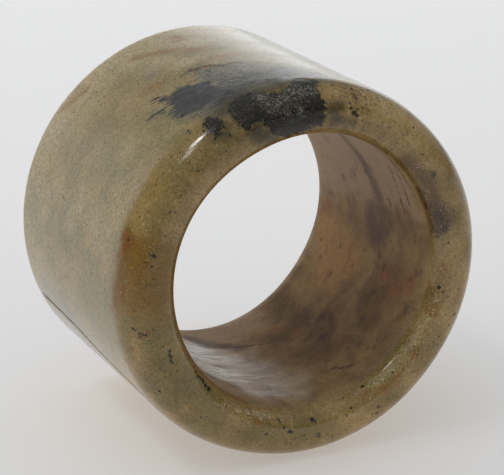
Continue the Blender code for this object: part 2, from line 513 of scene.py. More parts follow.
spots("end_olive",
    (128.6, 1.5, 1.1), (134.8, 1.5, 1.2), (141.3, 1.2, 1.2), (121.2, 0.9, 0.8), (-135.3, -0.97, 0.9),
    (-102.2, -0.78, 0.9), (-155.4, -0.21, 1), (-166.7, 0.57, 0.9), (-145, 1, 1.1), (-128, 0.5, 1),
    (-80, 1, 1), (151.2, 1, 0.9), (155.5, 1, 0.8), (-93, -0.6, 1.2), (-85, -0.4, 1.2), (-110, -0.7, 1.1),
)
spots("end_orange",
    (-4.5, -1.7, 0.6), (-14, -1.9, 0.5), (-22, -1.5, 0.6), (-58.5, -1.2, 0.6), (-64, -1.5, 0.5),
    (-112, -1.4, 0.6), (-105, -1.8, 0.5), (-52, -1, 0.5), (-40, -1, 0.5), (2, 0.8, 0.6),
)

# The lip of the bore, partly painted light: a thin brown line round it, the edge of it that light shines
# through, bands and pale crumbs
# Painted shadow: a thin brown line where the rim turns into the bore
trail("lip_rim_shadow", 0.14, (
    (84, -3), (74, -2.9), (65.7, -2.72), (56.5, -2.43), (45.4, -2.24), (31.7, -2.32), (19.3, -2.42),
    (10, -2.45),
))
# Painted glow: orange-brown where light shines through the thin edge of the lip
trail("lip_edge_glow", 0.5, (
    (84, -2.7), (100, -2.5), (110, -2.36), (130, -2.26), (160, -2.28), (180, -2.4), (-160, -2.62),
    (-145, -2.83), (-130, -3.05), (-118, -3.1),
))
# The lip's own olive, painted lighter to offset its shade, with a painted glow of light through the thin edge
trail(
    "lip_olive_and_light", 0.4,
    ((-150, -2.6), (-130, -2.6), (-115, -2.5), (-100, -2.8), (-85, -2.9), (-72, -2.8), (-64, -2.6)),
    ((-9, -2.5), (-2, -2.6), (5, -2.6), (11, -2.7)),
)
# Painted highlight: pale bands along the lip where it mirrors the lights
trail(
    "lip_painted_highlight", 0.4,
    ((-113, -1.9), (-105, -2.2), (-96, -2.5), (-86, -2.5), (-76, -2.3)),
    ((-60, -2.1), (-52, -1.9), (-45, -1.95), (-37, -1.85), (-27, -1.65)),
)
# Pale crumbs on the lip: real grains, and partly painted sparkle
spots("frost",
    (-128.9, -1.4, 0.4), (-122, -1.5, 0.35), (-111.3, -1.7, 0.5), (-107.6, -1.9, 0.45), (-59.7, -2.1, 0.35),
    (-56, -1.9, 0.45), (-51.5, -1.8, 0.45), (-40.2, -1.8, 0.35), (-36.5, -1.7, 0.4), (-25.6, -1.4, 0.4),
    (-21.8, -1.5, 0.35), (-17.4, -1.5, 0.3), (-4.5, -1.7, 0.25), (-117, -1.3, 0.3), (-98, -1.9, 0.25),
    (-144, -1.3, 0.3), (-64, -1.2, 0.3), (-134.8, -1.6, 0.3), (-126, -1.5, 0.35), (-118, -1.7, 0.35),
    (-113.1, -1.95, 0.4), (-67, -2.3, 0.3), (-63, -2.2, 0.35), (-30, -1.8, 0.3), (-12.4, -2.2, 0.3),
    (-6, -2.4, 0.25), (-140, -1.8, 0.25),
)
spots("grainy",
    (57, -1.8, 0.7), (40, -1.2, 0.6), (35, -0.2, 0.6), (21, -1.2, 0.5), (14, -1.4, 0.5), (-33, -1, 0.4),
    (166.3, 0.3, 0.4), (161, 0.9, 0.3), (158, 1.6, 0.4), (-146, -1.1, 0.5), (127, 9, 0.4), (150, 5, 0.7),
)

# Clouds, bands and patches of the bore, with a painted sheen and a painted glow
patch("bore_mauve", (72, -3.6), (72, -24), (2, -24), (8, -14), (12, -8), (14, -3.6))
spots("bore_mauve",
    (-75.1, -21.5, 2.2), (-90.3, -20.3, 2.2), (-66.9, -20.6, 1.6), (-106, -21, 2), (-88, -16.5, 1.6),
)
# Amber stone, painted lighter as a glow of light passing through the wall
patch("bore_amber_and_glow",
    (-8, -22.4), (-6, -20), (-10, -17), (-13, -14), (-24, -13.2), (-36, -15.3), (-38, -19), (-22, -22),
)
# Paler stone in the bore, and on its lower side painted sheen where it mirrors the backdrop
spots("bore_pale_and_sheen",
    (-82.4, -6.4, 1.6), (-92.1, -8.2, 1.5), (-75.8, -3.8, 1), (-97, -12.1, 1.4), (-100.1, -15.9, 1.3),
    (-69.5, -3.4, 0.7), (-81.8, -9.55, 1.3), (-107, -9, 1.6), (-22, -21.6, 1.4), (-34, -20.5, 1.5),
    (-42, -20.8, 1.2), (-109, -14, 1.7), (-106.5, -11.4, 1.6), (-103.8, -8.2, 1.4), (-101, -6, 1),
    (-103, -21.2, 1),
)
spots("bore_brown",
    (-55.9, -16.5, 1.7), (-56.1, -12.5, 1.7), (-51.6, -9.2, 1.4), (-41.4, -8.4, 1.4), (-50.9, -7.6, 1.2),
    (-43.7, -4.8, 1), (-58.2, -19.7, 1.4), (-31.4, -9.8, 1.1), (-48.2, -13, 1.6), (-64.3, -11.6, 1.4),
    (-66, -16, 1.4), (-70, -12.5, 1),
)
spots("bore_red",
    (-4.5, -21.1, 0.8), (-22, -6.95, 1), (-16.7, -5.05, 0.9), (-18.8, -9.2, 0.7), (-7.3, -22.15, 0.6),
    (-62, -15, 0.5), (-68, -17.5, 0.6),
)
patch("bore_purple",
    (5.8, -13.8), (11.7, -11.3), (9.6, -9), (1.7, -8.9), (-7.2, -10.1), (-10.1, -12.05), (-4.7, -13.8),
)
trail("bore_band", 0.65, (
    (62, -11.3), (52, -11.8), (43.8, -12.1), (34.9, -11.6), (25.1, -11.6), (17.8, -11.1), (12.3, -10.9),
))
trail("bore_dark", 0.7, ((-104, -20.5), (-100.5, -19.2), (-96, -18.7), (-91.6, -18.2), (-86, -17.2)))
trail(
    "bore_streaks", 0.14,
    ((43.3, -5.03), (28.4, -6.32), (16.3, -6.71), (11.1, -6.45)),
    ((17.3, -9.23), (11.4, -9.04)),
    ((46.9, -3.4), (32.7, -3.45), (25, -3.4)),
    ((38.3, -4.46), (26.2, -5.13), (18.9, -5.09)),
    ((-104, -19), (-98, -18.4), (-90, -17.6), (-80.5, -16.9), (-74, -16.2)),
    ((-66, -7.3), (-62.5, -6.2), (-59, -5.6)),
)
# Where the bore is smoother and mirrors the bright backdrop. Cream is also painted here as painted sheen.
spots("bore_sheen",
    (-107, -16.6, 2.5), (-98, -14.5, 2.6), (-92, -11.3, 2.6), (-87, -8.6, 2), (-113, -10.5, 2.8),
    (-100.6, -9.6, 2.6), (-112, -15, 2.6), (-93, -6.4, 1.8), (-86, -5.6, 1.2), (-103, -6, 1.6),
)

# Specks of three tones. Those in the bore are soft.
BLACK_SPECKS = (
    (-158, 22.2, 0.22), (-157.4, 21.5, 0.16), (128.5, 2.9, 0.1), (124, 2, 0.1), (119, 0.9, 0.1),
    (-172.5, 1.68, 0.15), (-172.1, 1.5, 0.1), (-170.9, 1.15, 0.1), (-170.5, 0.95, 0.11), (-170.3, 0.72, 0.12),
    (-169.8, 1.25, 0.08), (-161.6, -0.55, 0.13), (-160.5, -0.45, 0.14), (-159.4, -0.5, 0.17),
    (-158.2, -0.4, 0.14), (-157.2, -0.45, 0.12), (-150.1, 1.44, 0.15), (-149.6, 1.89, 0.1),
    (159.5, 16.66, 0.1), (162.9, 16.75, 0.1), (163.1, 16.35, 0.12), (164.9, 12.59, 0.08), (161.6, 2.82, 0.14),
    (163.6, 0.4, 0.14), (164.1, 0.22, 0.11), (163.6, 0.66, 0.08), (166.4, 0.94, 0.07), (167.3, 0.32, 0.1),
    (126.6, 3.76, 0.14), (126.8, 3.4, 0.12), (74.8, 0.13, 0.24), (73.4, -0.02, 0.16), (76, 0.5, 0.14),
    (76.5, 0.85, 0.12), (68.2, 2.87, 0.13), (74.7, 2.3, 0.15), (75.8, 2.76, 0.11), (51.1, 1.06, 0.1),
    (42.8, -0.16, 0.09), (8.1, -1.9, 0.12), (5.4, -1.08, 0.12), (-12.7, -1.58, 0.17), (-14.2, -1.13, 0.11),
    (-15.5, -0.59, 0.09), (-51.2, -1.57, 0.1), (-63.8, -2.37, 0.15), (-72.4, -1.33, 0.13),
    (-149.2, -1.96, 0.13), (-147.5, -1.8, 0.14), (-146, -1.65, 0.13), (-144.4, -1.75, 0.16),
    (-142.4, -1.8, 0.22), (-140.3, -1.65, 0.18), (-138.3, -1.65, 0.22), (-103.4, -1.62, 0.13),
    (-102.6, -1.44, 0.1), (-101.1, -0.98, 0.11), (-98.6, -0.67, 0.2), (-97.4, -0.62, 0.12), (-89, -1.5, 0.2),
    (-88, -1.3, 0.12), (-107.5, -0.32, 0.11),
)
GREY_SPECKS = (
    (175.8, 5.4, 0.1), (176.8, 5.47, 0.11), (177.8, 5.54, 0.09), (160.5, 16.51, 0.08), (163.6, 15.95, 0.09),
    (-164.5, -0.27, 0.12), (-156.6, 1.28, 0.12), (-155.8, 1.61, 0.1), (131.2, 20.84, 0.12),
    (33.9, -0.43, 0.2), (-21, 0.67, 0.2), (-62.5, 0.03, 0.2), (-63.7, 0.54, 0.16), (-92.5, -0.22, 0.15),
    (-86.6, 0.04, 0.2), (13.3, -17.63, 0.4), (18.7, -14.92, 0.32), (4.4, -5.1, 0.2), (1.6, -5.4, 0.24),
    (-13.1, -10.83, 0.34), (-15.7, -9.68, 0.26), (-17.8, -9.7, 0.24), (-14.8, -13.46, 0.22),
    (-11.2, -4.6, 0.32), (-9.6, -4, 0.2), (-15, -5.2, 0.24), (-32, -17.17, 0.3), (-27, -4.3, 0.34),
    (-40.3, -9.27, 0.4), (-49.3, -5.87, 0.28), (-47.9, -5.22, 0.26), (-46.2, -4.44, 0.2), (-50.2, -7.2, 0.36),
    (-56.6, -12.02, 0.5), (-50, -14.4, 0.4), (0.9, -6.3, 0.16), (-20.7, -9.75, 0.16), (-19.1, -17.51, 0.2),
    (4.3, -9.55, 0.2), (-28.2, -9.84, 0.3),
)
BROWN_SPECKS = (
    (163, 17.31, 0.07), (165.6, 10.3, 0.07), (168.1, 10.35, 0.07), (163.3, 6.95, 0.07), (164.6, 6.79, 0.09),
    (167.3, 7.01, 0.08), (162.1, 8.02, 0.07), (-171.9, 17.55, 0.15), (-175.1, 14.46, 0.08), (-175, 14, 0.08),
    (-174.7, 13.67, 0.08), (-178.1, 11.53, 0.09), (174.5, 7.39, 0.06), (175.9, 7.36, 0.07),
    (166.3, 0.75, 0.06), (167.8, -0.21, 0.07), (173.3, 0.47, 0.1), (173, 0.2, 0.08), (174.3, -0.03, 0.07),
    (170.8, -0.78, 0.07), (169.6, 3.16, 0.08), (155, 2.09, 0.08), (123.9, 17.02, 0.08), (130.7, 19.06, 0.13),
    (143.7, 21.17, 0.13), (70.7, 1.02, 0.1), (67.4, 0.82, 0.08), (65.9, 2.08, 0.11), (68.3, 2.04, 0.1),
    (48.3, 1.05, 0.07), (61.4, -1.53, 0.09), (64.8, -0.64, 0.08), (27.5, 1.14, 0.07), (25.5, 0.44, 0.07),
    (66.8, 0.25, 0.07), (12.1, -2.17, 0.1), (13.7, -0.83, 0.08), (-34.7, -0.33, 0.08), (-36.4, -0.33, 0.08),
    (-51.7, 0.2, 0.1), (-72.7, -4.12, 0.1), (-107.8, 0.82, 0.09), (-123, -0.51, 0.09), (-113.6, -0.63, 0.08),
    (-107.1, -2.82, 0.08), (-160.1, -0.1, 0.08), (-156, -0.6, 0.08), (-150, 0.76, 0.08), (-148.1, 2.17, 0.08),
    (-160.9, 3.77, 0.09), (-157.1, 6.06, 0.09), (-167.8, 8.53, 0.09), (139, 1, 0.09), (137.5, 2.2, 0.08),
    (133, 0.6, 0.09), (128, 0.5, 0.07), (143, 0.4, 0.08), (-23.4, -14.55, 0.2), (-7, -8.84, 0.2),
    (-4.3, -9.31, 0.18), (-54.5, -7.98, 0.24), (-68.4, -7.08, 0.22), (-63.4, -5.77, 0.18), (-64, -5.1, 0.16),
    (-27.9, -19.95, 0.25), (-21, -21, 0.2), (-25.1, -4.9, 0.18), (-40, 9, 0.12), (10, 14, 0.12), (44, 8, 0.1),
    (63, 17, 0.12), (-12, 20, 0.1), (-70, 12, 0.12), (-104, 18, 0.1), (150, -9, 0.25), (118, -16, 0.25),
    (-150, -13, 0.25),
)
SPECK_TONES = ((1.0, BLACK_SPECKS), (0.5, GREY_SPECKS), (0.0, BROWN_SPECKS))


# The mesh


def grid_noise(places, scale, seed):
    """Smooth noise from -1 to 1 at each place, with the given number of waves per millimetre."""
    shift = Vector([seed * part for part in SEED_SHIFT])
    return np.array([noise.noise(Vector(place) * scale + shift) for place in places]).reshape(ANGLES.shape)


def relief(places):
    """Height of the worked surface over the true form: hand polish, the pitted patch, frost and the crack."""
    height = sum(grid_noise(places, scale, seed) * size for scale, seed, size in POLISH)
    grains = grid_noise(places, *GRAIN_NOISE)
    height += smooth(FIELDS["black"], *PIT_EDGE) * (grains * PIT_HEIGHT - PIT_DEPTH)
    crack = np.exp(-((FIELDS["crack"] / CRACK_WIDTH) ** 2)) * smooth(FIELDS["crack_near"], *CRACK_END)
    return height - CRACK_DEPTH * crack + smooth(FIELDS["frost"], *FROST_EDGE) * grains * FROST_HEIGHT


def ring_places():
    """Every vertex's place in millimetres, row by row."""
    next_r, next_y = np.roll(SECTION_RADIUS, -1), np.roll(SECTION_Y, -1)
    last_r, last_y = np.roll(SECTION_RADIUS, 1), np.roll(SECTION_Y, 1)
    lengths = np.hypot(next_r - last_r, next_y - last_y)
    normal_r = ((next_y - last_y) / lengths)[:, None]
    normal_y = (-(next_r - last_r) / lengths)[:, None]

    ys = np.broadcast_to(SECTION_Y[:, None], RADII.shape)
    places = np.stack([RADII * np.cos(TURN), ys, RADII * np.sin(TURN)], axis=-1).reshape(-1, 3)
    height = relief(places.tolist())
    radii = RADII + normal_r * height
    ys = np.clip(ys + normal_y * height, FRONT_Y, BACK_Y)
    x = radii * np.cos(TURN) + BORE_SHARE * BORE_SHIFT_X
    z = radii * np.sin(TURN) + BORE_SHARE * BORE_SHIFT_Z + AXIS_HEIGHT
    return np.stack([x, ys, np.maximum(z, 0)], axis=-1)


TURN = np.radians(ANGLES)
PLACES = ring_places()


def on_ring(angle, station):
    """The place of an angle and station on the worked surface."""
    row = np.interp(station, STATION, np.arange(len(STATION)))
    column = (angle - ANGLE[0]) / 360 * SIDES % SIDES
    near_row, near_column = int(row), int(column)
    down, across = row - near_row, column - near_column
    rows = PLACES[[near_row, near_row + 1]]
    both = rows[:, near_column] * (1 - across) + rows[:, (near_column + 1) % SIDES] * across
    return both[0] * (1 - down) + both[1] * down


def speck_layers():
    """Every speck's centre, radius and tone, shared out so that no two of a layer are near each other."""
    layers = []
    for tone, marks in SPECK_TONES:
        for angle, station, radius in marks:
            speck = (on_ring(angle, station), radius, tone)
            for layer in layers:
                if all(math.dist(speck[0], other[0]) > SPECK_SPACING for other in layer):
                    layer.append(speck)
                    break
            else:
                layers.append([speck])
    return layers


def speck_fields(layer):
    """The centre, radius and tone of the nearest speck at each vertex. A far one's radius is NO_SPECK."""
    centres, radii, tones = (np.array(column) for column in zip(*layer))
    nearest = np.zeros(ANGLES.shape, int)
    least = np.full(ANGLES.shape, FAR)
    for index, centre in enumerate(centres):
        gap = np.linalg.norm(PLACES - centre, axis=-1)
        nearest = np.where(gap < least, index, nearest)
        least = np.minimum(gap, least)
    near = least < radii[nearest] + SPECK_REACH
    return centres[nearest], np.where(near, radii[nearest], NO_SPECK), tones[nearest]


# The turning direction in millimetres, so that fine marks can run round the ring, and the same slanted like
# the brushed lines of the smear
FLOW = np.stack([OUTER_RADIUS * np.cos(TURN), STATIONS, OUTER_RADIUS * np.sin(TURN)], axis=-1)
BRUSH = FLOW.copy()
BRUSH[..., 1] -= SMEAR_SLANT * flat_grid(SMEAR_ANGLE)[0]

VECTORS = {"flow": FLOW, "brush": BRUSH}
SPECK_LAYERS = speck_layers()
for number, layer in enumerate(SPECK_LAYERS):
    centres, radii, tones = speck_fields(layer)
    VECTORS[f"speck_centre_{number}"] = centres
    FIELDS[f"speck_radius_{number}"] = radii
    FIELDS[f"speck_tone_{number}"] = tones


def ring_mesh():
    rows, sides = ANGLES.shape
    row, side = np.meshgrid(np.arange(rows), np.arange(sides), indexing="ij")
    next_row, next_side = (row + 1) % rows, (side + 1) % sides
    corners = ((row, side), (row, next_side), (next_row, next_side), (next_row, side))
    quads = np.stack([r * sides + s for r, s in corners], axis=-1).reshape(-1, 4)
    mesh = bpy.data.meshes.new("thumb_ring_jade")
    mesh.from_pydata((PLACES.reshape(-1, 3) * MM).tolist(), [], quads.tolist())
    for kind, part, table in (("FLOAT", "value", FIELDS), ("FLOAT_VECTOR", "vector", VECTORS)):
        for name, values in table.items():
            attribute = mesh.attributes.new(name, kind, "POINT")
            attribute.data.foreach_set(part, values.astype(np.float32).ravel())
    mesh.shade_smooth()
    mesh.update()
    return mesh


ring = bpy.data.objects.new("thumb_ring_jade", ring_mesh())
bpy.context.scene.collection.objects.link(ring)


# Material


class Tree:
    """Adds nodes to one material. Each call returns the new node's output, and takes values or outputs."""

    def __init__(self, material):
        self.nodes = material.node_tree.nodes
        self.links = material.node_tree.links

    def feed(self, socket, value):
        if isinstance(value, bpy.types.NodeSocket):
            self.links.new(value, socket)
        else:
            socket.default_value = value

    def add(self, kind, output, inputs, **settings):
        """One output of a new node, with its settings and with its inputs by name or number."""
        node = self.nodes.new("ShaderNode" + kind)
        for name, value in settings.items():
            setattr(node, name, value)
        for name, value in inputs.items():
            self.feed(node.inputs[name], value)
        return node.outputs[output]

    def field(self, name, output="Fac"):
        return self.add("Attribute", output, {}, attribute_name=name)

    def position(self):
        """The place in the object, in millimetres."""
        return self.scaled(self.add("TexCoord", "Object", {}), 1 / MM)

    def scaled(self, vector, factor):
        return self.add("VectorMath", "Vector", {0: vector, "Scale": factor}, operation="SCALE")

    def vector(self, operation, a, b, output="Vector"):
        return self.add("VectorMath", output, {0: a, 1: b}, operation=operation)

    def dot(self, a, b):
        return self.vector("DOT_PRODUCT", a, b, "Value")

    def math(self, operation, a, b=0.0):
        return self.add("Math", "Value", {0: a, 1: b}, operation=operation)

    def noise(self, vector, scale, detail, roughness, output="Fac"):
        inputs = {"Vector": vector, "Scale": scale, "Detail": detail, "Roughness": roughness}
        return self.add("TexNoise", output, inputs)

    def step(self, value, low, high, bottom=0.0, top=1.0):
        """bottom below low, top above high and a smooth step between."""
        inputs = {"Value": value, "From Min": low, "From Max": high, "To Min": bottom, "To Max": top}
        return self.add("MapRange", "Result", inputs, interpolation_type="SMOOTHSTEP")

    def mix(self, share, a, b, blend="MIX"):
        a, b = (c if isinstance(c, bpy.types.NodeSocket) else (*c, 1.0) for c in (a, b))
        inputs = {"Factor": share, "A": a, "B": b}
        return self.add("Mix", "Result", inputs, data_type="RGBA", blend_type=blend)

    def ramp(self, value, stops):
        output = self.add("ValToRGB", "Color", {"Fac": value})
        elements = output.node.color_ramp.elements
        while len(elements) < len(stops):
            elements.new(0.5)
        for element, (place, colour) in zip(elements, stops):
            element.position = place
            element.color = (*colour, 1.0)
        return output


# Places that noises are taken at: waves a millimetre, and how far the place is moved
JITTER = (1.6, 0.5)
SWIRL = (0.22, 5.0)
SPECK_JITTER = (5.0, 0.34)
MOVING_NOISE = (2.0, 0.6)

# How much the noises that run round the ring, and along the brushed smear, are drawn out
STREAK_STRETCH = (0.35, 2.2, 0.35)
BRUSH_STRETCH = (0.6, 4.2, 0.6)

# The noises: place, waves a millimetre, detail and roughness
NOISES = {
    "clouds": ("swirled", 0.22, 5.0, 0.62),
    "mottle": ("swirled", 0.45, 5.0, 0.60),
    "wide": ("place", 0.40, 3.0, 0.60),
    "middle": ("place", 1.00, 3.0, 0.60),
    "fine": ("jittered", 2.40, 5.0, 0.60),
    "rough": ("jittered", 3.00, 4.0, 0.70),
    "crumbs": ("place", 4.40, 3.0, 0.75),
    "grit": ("place", 7.50, 2.0, 0.65),
    "streak": ("along", 1.00, 5.0, 0.65),
    "brush": ("brushed", 1.00, 3.0, 0.70),
}
MIDDLE_OF_NOISE = 0.5

# Noises that move the edges of marks, and the reach of each in millimetres for a whole wave
EDGES = {"wide": 3.6, "middle": 1.8, "fine": 0.9, "rough": 1.8, "brush": 2.4}

# Hairlines: how far the fine noise moves them, half width and softness, and how deep in its field one fades
CRACK_HAIR = (0.35, 0.15, 0.07)
FADED_HAIR = (0.3, 0.05, 0.03)
SMEAR_EDGE_HAIR = (2.4, 0.11, 0.04)
SMEAR_CRUMBS_HAIR = (4.0, 0.32, 0.20)
HAIR_FADE = 0.25

# Softness of the edges of grains and specks
DOT_SOFTNESS = 0.025
SPECK_SOFTNESS = 0.04
BORE_SPECK_SOFTNESS = 0.20

# Colours of the outside
WALL_GREEN = (0.284, 0.232, 0.094)
WALL_TAN = (0.360, 0.273, 0.114)
WALL_OCHRE = (0.405, 0.292, 0.122)
WALL_CREAM = (0.440, 0.345, 0.170)
WALL_BLUE = (0.240, 0.212, 0.116)
WALL_BROWN = (0.170, 0.100, 0.040)
BACK_CREAM = (0.640, 0.520, 0.310)
TOP_CREAM = (0.560, 0.480, 0.290)
# Painted glare on the top of the outside
TOP_PAINTED_GLARE = (0.640, 0.620, 0.450)
STREAK_ORANGE = (0.340, 0.165, 0.040)

# Colours of the front end
END_BROWN = (0.335, 0.220, 0.077)
END_TAN = (0.465, 0.312, 0.122)
END_PALE = (0.620, 0.435, 0.190)
END_OLIVE = (0.268, 0.200, 0.064)
END_SHADE = (0.200, 0.145, 0.046)
END_YELLOW = (0.320, 0.210, 0.034)
END_ORANGE = (0.330, 0.165, 0.034)
END_STAIN = (0.110, 0.078, 0.026)
AMBER = (0.262, 0.138, 0.014)
RUST = (0.250, 0.098, 0.010)
BAND_BROWN = (0.210, 0.100, 0.006)
FRINGE_BROWN = (0.255, 0.170, 0.058)
# Painted shadow of the rim
LIP_RIM_SHADOW = (0.120, 0.068, 0.024)
# Painted glow of light through the lip's thin edge
LIP_EDGE_GLOW = (0.300, 0.120, 0.020)
# Olive of the lip, lightened as painted light
LIP_OLIVE_AND_LIGHT = (0.520, 0.360, 0.180)
LIP_BROWN = (0.150, 0.078, 0.030)
# Painted highlight along the lip
LIP_PAINTED_HIGHLIGHT = (0.520, 0.410, 0.190)
LIP_DARK = (0.105, 0.057, 0.025)
LIP_CORE = (0.030, 0.020, 0.014)

# Colours of the bore
BORE_TAN = (0.345, 0.212, 0.086)
BORE_MAUVE = (0.510, 0.352, 0.222)
BORE_BROWN = (0.155, 0.080, 0.026)
# Amber of the stone, lightened as painted glow of light through the wall
BORE_AMBER_AND_GLOW = (0.580, 0.325, 0.110)
BORE_PALE = (0.460, 0.305, 0.120)
BORE_SHADE = (0.225, 0.130, 0.048)
# Painted sheen in the bore
BORE_PAINTED_SHEEN = (0.620, 0.510, 0.360)
BORE_RED = (0.380, 0.155, 0.055)
BORE_PURPLE = (0.195, 0.105, 0.070)
BORE_BAND = (0.140, 0.078, 0.048)
BORE_STREAK = (0.100, 0.055, 0.032)

# Colours of the inclusion, the crack, grains and specks
BLACK = (0.003, 0.003, 0.003)
PATCH_GREY = (0.085, 0.084, 0.062)
PATCH_BROWN = (0.066, 0.052, 0.020)
PATCH_CRUMB = (0.380, 0.365, 0.290)
SMEAR_GREY = (0.066, 0.066, 0.052)
SMEAR_BLACK = (0.006, 0.008, 0.010)
HAZE_GREY = (0.185, 0.184, 0.128)
HAZE_PALE = (0.330, 0.300, 0.200)
HAZE_SHADE = (0.026, 0.025, 0.014)
# Cream of the crumbs, partly painted sparkle on the lip
CREAM_CRUMBS_AND_SPARKLE = (0.720, 0.640, 0.460)
GRAIN_TAN = (0.560, 0.450, 0.270)
CRACK_BROWN = (0.050, 0.026, 0.010)
HAIR_BROWN = (0.100, 0.070, 0.040)
DOT_COLOURS = ((0.45, (0.180, 0.088, 0.026)), (0.70, (0.055, 0.045, 0.026)))
SPECK_COLOURS = (
    (0.0, (0.090, 0.045, 0.015)),
    (0.5, (0.062, 0.054, 0.040)),
    (1.0, (0.012, 0.015, 0.013)),
)

# Shares and levels by name. One of a mark has its field, the noises that move its edge and how far it blurs.
# One of a noise has the noise, its values at the start and the end of a smooth step, and the results there
# if they aren't 0 and 1.
SHARES = {
    "haze": ("haze", "middle", 1.1),
    "haze_thin": ("haze_thin", "", 1.8),
    "dark_grit": ("grit", 0.47, 0.39),
    "pits": ("fine", 0.50, 0.41),
    "smear": ("smear", "brush rough", 0.3),
    "smear_dark": ("smear_dark", "brush", 0.9),
    "smear_lines": ("brush", 0.460, 0.500),
    "black": ("black", "rough fine", 0.2),
    "blob": ("blob", "rough fine", 0.12),
    "blob_breaks": ("crumbs", 0.36, 0.42),
    "patch_grey": ("patch_grey", "rough fine", 0.5),
    "scratches": ("brush", 0.47, 0.62, 0.0, 0.5),
    "dots_kept": ("mottle", 0.35, 0.65, 0.30, 0.55),
    "bore_sheen": ("bore_sheen", "wide", 1.3),
    "sheen_polish": ("streak", 0.38, 0.62, 0.21, 0.40),
    "polish": ("mottle", 0.35, 0.65, 0.11, 0.17),
    "broken": ("grit", 0.56, 0.42, 0.08, 0.60),
    "dull": ("dull", "rough", 0.6),
}

# Layers that are painted in turn: colour, strength, and the shares whose product is painted. A share is the
# name of one, or is given as above. So is a strength that isn't even.
WALL_LAYERS = (
    (BACK_CREAM, 0.50, "back_rim"),
    (WALL_CREAM, 0.85, ("cream", "wide", 0.9)),
    (WALL_OCHRE, 0.75, ("ochre", "wide", 0.9)),
    (WALL_GREEN, 0.85, ("green", "wide", 1.0)),
    (WALL_BLUE, 0.70, ("blue", "middle", 0.6)),
    (TOP_CREAM, 0.60, ("top_cream", "wide", 1.2)),
    # Painted glare on the top of the outside
    (TOP_PAINTED_GLARE, 0.80, ("top_painted_glare", "wide", 1.5)),
    (BACK_CREAM, 0.45, "back_rim"),
    (WALL_OCHRE, 0.36, ("mottle", 0.51, 0.65)),
    (WALL_GREEN, 0.45, ("mottle", 0.48, 0.35)),
    (WALL_CREAM, 0.25, ("streak", 0.52, 0.70)),
    (WALL_BROWN, 0.38, ("grit", 0.40, 0.30)),
    (STREAK_ORANGE, 0.85, ("orange_streaks", "rough", 0.5), ("streak", 0.36, 0.54, 0.3, 1.0)),
)
END_LAYERS = (
    (END_TAN, 0.85, ("end_tan", "middle", 0.7)),
    (END_PALE, 0.75, ("end_pale", "middle", 1.0)),
    (END_OLIVE, 0.85, ("end_olive", "middle", 0.7)),
    (END_SHADE, 0.75, ("end_shade", "middle", 1.0)),
    (END_ORANGE, 0.70, ("end_orange", "middle", 0.4)),
    (END_STAIN, 0.75, ("end_stains", "middle", 0.5)),
    # The lip's olive, partly painted light that offsets its shade and glows through its edge
    (LIP_OLIVE_AND_LIGHT, 0.60, ("lip_olive_and_light", "middle", 0.8)),
    # Painted highlight along the lip
    (LIP_PAINTED_HIGHLIGHT, 0.62, ("lip_painted_highlight", "rough", 0.5)),
    (END_TAN, 0.26, ("mottle", 0.53, 0.66)),
    (END_OLIVE, 0.30, ("mottle", 0.46, 0.34)),
    (END_STAIN, 0.50, ("grit", 0.38, 0.28)),
    (AMBER, ("mottle", 0.38, 0.60, 0.65, 1.0), ("amber_end", "rough", 1.1)),
)
RIM_LAYERS = (
    (END_YELLOW, 0.55, ("yellow_rim", "middle", 1.5)),
    (FRINGE_BROWN, 0.50, ("band_fringe", "rough", 0.6)),
    (BAND_BROWN, 0.82, ("brown_band", "rough", 0.36)),
    (RUST, 0.90, ("rust", "rough", 0.16)),
)
BORE_LAYERS = (
    (BORE_MAUVE, 0.90, ("bore_mauve", "wide", 1.0)),
    # Paler stone, and painted sheen on the bore's lower side
    (BORE_PALE, 0.80, ("bore_pale_and_sheen", "wide", 1.0)),
    # Amber stone with painted glow of light passing through the wall
    (BORE_AMBER_AND_GLOW, 0.90, ("bore_amber_and_glow", "wide", 1.2)),
    (BORE_BROWN, 0.70, ("bore_brown", "middle", 1.4)),
    (BORE_RED, 0.85, ("bore_red", "middle", 0.7)),
    (BORE_BAND, 0.85, ("bore_band", "middle", 0.8)),
    (BORE_PURPLE, 0.80, ("bore_purple", "middle", 0.6)),
    # Painted sheen: cream where the bore mirrors the backdrop
    (BORE_PAINTED_SHEEN, 0.45, "bore_sheen"),
    (BORE_BROWN, 0.85, ("bore_dark", "middle", 0.7)),
    (BORE_PALE, 0.25, ("mottle", 0.52, 0.64)),
    (BORE_BROWN, 0.24, ("mottle", 0.47, 0.36)),
    (BORE_STREAK, 0.85, ("bore_streaks", "fine", 0.15)),
)
LIP_LAYERS = (
    # Painted glow of light through the lip's thin edge
    (LIP_EDGE_GLOW, 0.85, ("lip_edge_glow", "fine", 0.3)),
    # Painted shadow of the rim
    (LIP_RIM_SHADOW, 0.75, ("lip_rim_shadow", "fine", 0.3)),
)
GRAIN_LAYERS = (
    ("dark_dot_colour", 0.75, "dark_dots", "outside"),
    (GRAIN_TAN, 0.55, "pale_dots", "outside"),
)
